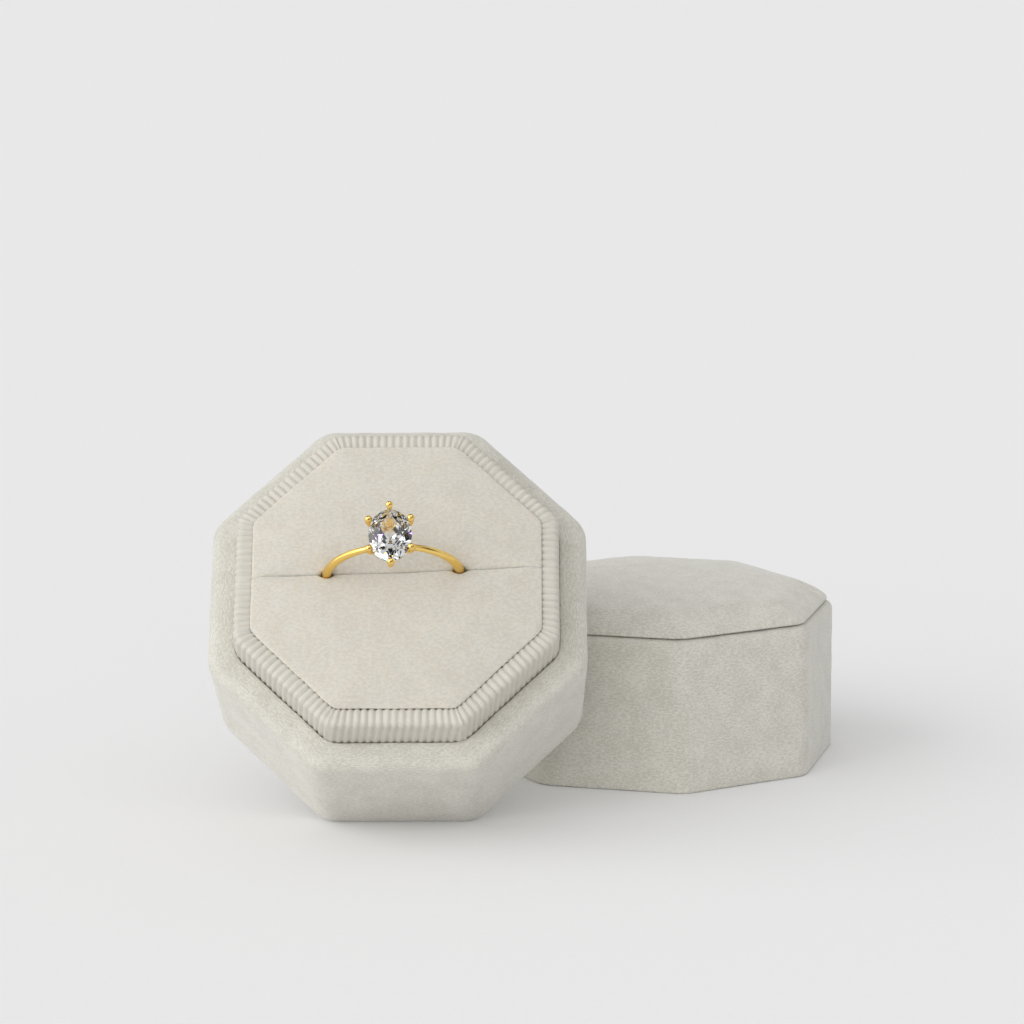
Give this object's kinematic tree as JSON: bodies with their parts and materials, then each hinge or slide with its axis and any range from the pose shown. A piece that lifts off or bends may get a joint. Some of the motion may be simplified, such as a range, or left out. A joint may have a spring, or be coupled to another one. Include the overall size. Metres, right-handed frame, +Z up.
{
  "type": "ring box",
  "caption": "Octagonal velvet ring box with a padded lift-off lid, a ribbed ribbon collar and a slotted cushion that holds a solitaire ring, set out open for display.",
  "frame": {"origin": "on the table under the middle of the whole display, with the base leaning back and the lid beside it", "axes": "+Z up from the table; +X from the base towards the lid, along the base's lower edge; +Y from the cushion's open face towards the back; the base's own axis leans 37 degrees up from -Y"},
  "size_m": [0.095, 0.0922, 0.0565],
  "materials": {
    "grey_velvet": "matte short-pile velvet",
    "ivory_velvet": "matte short-pile velvet",
    "ivory_ribbon": "ribbed grosgrain, satin",
    "lining": "matte flocked lining",
    "greyboard": "matte pressed paper board",
    "foam": "matte fine-cell foam",
    "gold": "polished gold plate",
    "stone": "clear, faceted and polished"
  },
  "bodies": {
    "base": {"base_velvet_wrap": "grey_velvet", "base_bottom_velvet": "grey_velvet", "base_floor_board": "greyboard", "base_wall_board": "greyboard", "collar_board": "greyboard", "collar_ribbon": "ivory_ribbon", "insert_card": "greyboard", "cushion_velvet_upper": "ivory_velvet", "cushion_foam_upper": "foam", "cushion_velvet_lower": "ivory_velvet", "cushion_foam_lower": "foam"},
    "lid": {"lid_velvet_wrap": "grey_velvet", "lid_wall_board": "greyboard", "lid_top_board": "greyboard", "lid_wall_lining": "lining", "lid_ceiling_card": "greyboard", "lid_ceiling_velvet": "ivory_velvet", "lid_dome_card": "greyboard", "lid_dome_foam": "foam", "lid_top_velvet": "grey_velvet"},
    "ring": {"ring_shank": "gold", "ring_head": "gold", "ring_stone": "stone"}
  },
  "joints": [
    {"name": "lid_lift", "type": "slide", "parent": "base", "child": "lid", "axis": [0, 0.6018, 0.7986], "range_m": [0, 0.06]},
    {"name": "ring_pull", "type": "slide", "parent": "base", "child": "ring", "axis": [0, -0.7986, 0.6018], "range_m": [0, 0.022]}
  ]
}
